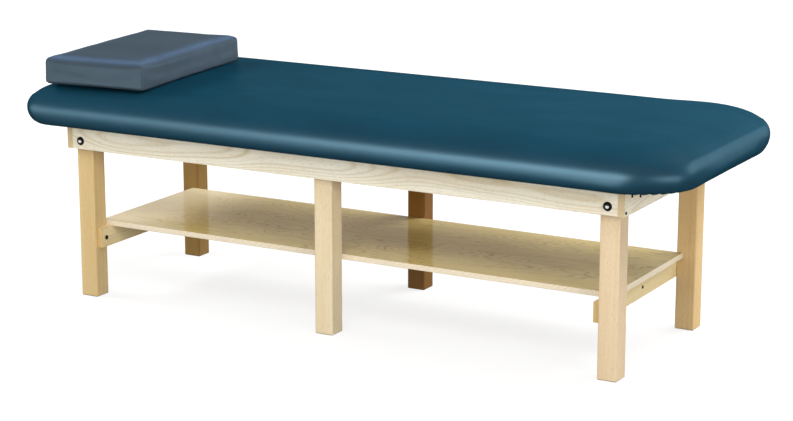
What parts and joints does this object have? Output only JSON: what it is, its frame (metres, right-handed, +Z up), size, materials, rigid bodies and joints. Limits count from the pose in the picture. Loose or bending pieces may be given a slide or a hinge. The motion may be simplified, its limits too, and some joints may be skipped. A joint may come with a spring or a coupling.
{
  "type": "chiropractic table",
  "caption": "Low wooden chiropractic table on square legs, with a thick round-edged vinyl padded top, a lower storage shelf and a loose box pillow at the head end.",
  "frame": {"origin": "on the floor below the middle of the padded top", "axes": "+X along the table from the head end to the foot end, +Y from the front to the rear, +Z up"},
  "size_m": [1.98, 0.774, 0.7063],
  "materials": {
    "maple": "clear satin lacquer on pale maple",
    "leg_maple": "clear satin lacquer on golden maple",
    "rail_maple": "clear satin lacquer",
    "birch_ply": "glossy lacquered birch plywood",
    "deck_ply": "unfinished plywood",
    "black_steel": "black oxide",
    "bright_steel": "bright zinc",
    "zinc_steel": "zinc",
    "foam": "open-cell foam",
    "pad_vinyl": "satin teal blue upholstery vinyl",
    "pillow_vinyl": "satin slate blue upholstery vinyl"
  },
  "bodies": {
    "table": {"front_apron": "maple", "rear_apron": "maple", "head_end_board": "maple", "foot_end_board": "maple", "leg_head_front": "leg_maple", "leg_head_rear": "leg_maple", "leg_middle_front": "leg_maple", "leg_middle_rear": "leg_maple", "leg_foot_front": "leg_maple", "leg_foot_rear": "leg_maple", "head_stretcher": "rail_maple", "foot_stretcher": "rail_maple", "shelf": "birch_ply", "shelf_rail": "rail_maple", "middle_cross_rail": "rail_maple", "front_cleats": "rail_maple", "rear_cleats": "rail_maple", "end_cleats": "rail_maple", "cross_rail_dowels": "rail_maple", "apron_bolts": "bright_steel", "cup_washers": "black_steel", "nut_washers": "bright_steel", "apron_nuts": "bright_steel", "end_board_screws": "black_steel", "middle_leg_screws": "zinc_steel", "stretcher_lag_screws": "black_steel", "rail_screws": "black_steel", "shelf_screws": "zinc_steel", "cleat_screws": "zinc_steel", "deck_screws": "zinc_steel", "deck": "deck_ply", "pad_foam": "foam", "pad_cover": "pad_vinyl"},
    "pillow": {"pillow_foam": "foam", "pillow_cover": "pillow_vinyl"}
  },
  "joints": [
    {"name": "pillow_lift", "type": "slide", "parent": "table", "child": "pillow", "axis": [0, 0, 1], "range_m": [0, 0.2]}
  ]
}
